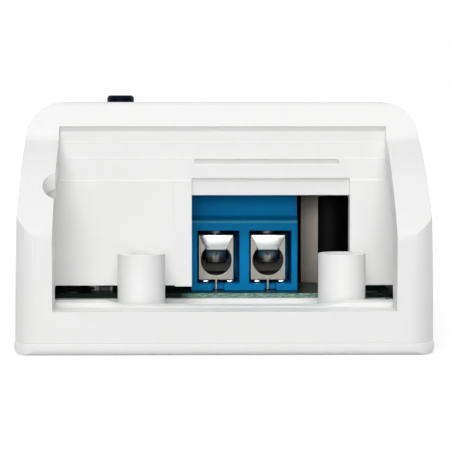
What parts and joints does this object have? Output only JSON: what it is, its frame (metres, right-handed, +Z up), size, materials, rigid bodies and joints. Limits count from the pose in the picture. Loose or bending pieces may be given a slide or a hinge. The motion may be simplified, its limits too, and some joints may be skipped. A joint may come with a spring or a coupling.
{
  "type": "smart relay module",
  "caption": "White inline mains relay box with sloped ends: screw terminals behind an open wiring bay at one end, a screwed cover at the other, and a push button on top.",
  "frame": {"origin": "middle of the underside of the base", "axes": "+X across the width, +Y along the length towards the covered end, +Z up"},
  "size_m": [0.038, 0.088, 0.0234],
  "materials": {
    "white_abs": "satin",
    "navy_cap": "satin",
    "board": "solder mask",
    "blue_pbt": "satin",
    "steel": "nickel plated",
    "black_plastic": "moulded",
    "relay_plastic": "moulded",
    "iron": "plated",
    "copper": "enamelled wire",
    "contact": "bright",
    "bobbin": "moulded",
    "ferrite": "sintered",
    "tape": "film",
    "aluminium": "drawn",
    "sleeve": "shrunk film",
    "varistor_coat": "dipped",
    "resistor_coat": "lacquer",
    "clear": "clear",
    "ceramic": "fired"
  },
  "bodies": {
    "housing": {"base_tray": "white_abs", "top_shell": "white_abs", "terminal_cover": "white_abs", "cover_screws": "steel", "circuit_board": "board", "output_terminal_housing": "blue_pbt", "output_clamp_cages": "steel", "input_terminal_housing": "blue_pbt", "input_clamp_cages": "steel", "switch_base": "black_plastic", "switch_frame": "steel", "switch_dome": "contact", "light_pipe": "clear", "status_led": "clear", "relay_case": "relay_plastic", "relay_base": "black_plastic", "relay_pins": "contact", "relay_yoke": "iron", "relay_core": "iron", "relay_bobbin": "bobbin", "relay_winding": "copper", "relay_fixed_contact": "contact", "transformer_core": "ferrite", "transformer_bobbin": "black_plastic", "transformer_winding": "tape", "reservoir_capacitor": "aluminium", "reservoir_sleeve": "sleeve", "output_capacitor": "aluminium", "output_sleeve": "sleeve", "varistor": "varistor_coat", "fuse_resistor": "resistor_coat", "filter_choke": "ferrite", "rectifier": "black_plastic", "radio_chip": "black_plastic", "memory_chip": "black_plastic", "crystal": "steel", "regulator": "black_plastic", "chip_passives": "ceramic"},
    "button": {"button_cap": "navy_cap", "switch_plunger": "black_plastic"},
    "armature": {"relay_armature": "iron", "relay_contact_spring": "contact"},
    "output_left_guard": {"output_wire_guard_left": "steel"},
    "output_left_screw": {"output_clamp_screw_left": "steel"},
    "output_right_guard": {"output_wire_guard_right": "steel"},
    "output_right_screw": {"output_clamp_screw_right": "steel"},
    "input_left_guard": {"input_wire_guard_left": "steel"},
    "input_left_screw": {"input_clamp_screw_left": "steel"},
    "input_right_guard": {"input_wire_guard_right": "steel"},
    "input_right_screw": {"input_clamp_screw_right": "steel"}
  },
  "joints": [
    {"name": "button_press", "type": "slide", "parent": "housing", "child": "button", "axis": [0, 0, -1], "range_m": [0, 0.00025], "stiffness_N_per_m": 400, "deforming": ["switch_dome"]},
    {"name": "armature_swing", "type": "hinge", "parent": "housing", "child": "armature", "pos_m": [0.00815, 0.0051, 0.01565], "axis": [1, 0, 0], "range_deg": [0, 4], "stiffness_Nm_per_rad": 0.02},
    {"name": "output_left_clamp", "type": "slide", "parent": "housing", "child": "output_left_guard", "axis": [0, 0, -1], "range_m": [0, 0.0008]},
    {"name": "output_left_turn", "type": "hinge", "parent": "output_left_guard", "child": "output_left_screw", "pos_m": [-0.00052, -0.022, 0.012], "axis": [0, 0, -1], "range_deg": [0, 640.5]},
    {"name": "output_right_clamp", "type": "slide", "parent": "housing", "child": "output_right_guard", "axis": [0, 0, -1], "range_m": [0, 0.0008]},
    {"name": "output_right_turn", "type": "hinge", "parent": "output_right_guard", "child": "output_right_screw", "pos_m": [0.00456, -0.022, 0.012], "axis": [0, 0, -1], "range_deg": [0, 640.5]},
    {"name": "input_left_clamp", "type": "slide", "parent": "housing", "child": "input_left_guard", "axis": [0, 0, -1], "range_m": [0, 0.0008]},
    {"name": "input_left_turn", "type": "hinge", "parent": "input_left_guard", "child": "input_left_screw", "pos_m": [0.00052, 0.022, 0.012], "axis": [0, 0, -1], "range_deg": [0, 640.5]},
    {"name": "input_right_clamp", "type": "slide", "parent": "housing", "child": "input_right_guard", "axis": [0, 0, -1], "range_m": [0, 0.0008]},
    {"name": "input_right_turn", "type": "hinge", "parent": "input_right_guard", "child": "input_right_screw", "pos_m": [-0.00456, 0.022, 0.012], "axis": [0, 0, -1], "range_deg": [0, 640.5]}
  ],
  "couplings": [
    {"joint": "output_left_turn", "follows": "output_left_clamp", "rad_per_m": 13963},
    {"joint": "output_right_turn", "follows": "output_right_clamp", "rad_per_m": 13963},
    {"joint": "input_left_turn", "follows": "input_left_clamp", "rad_per_m": 13963},
    {"joint": "input_right_turn", "follows": "input_right_clamp", "rad_per_m": 13963}
  ]
}
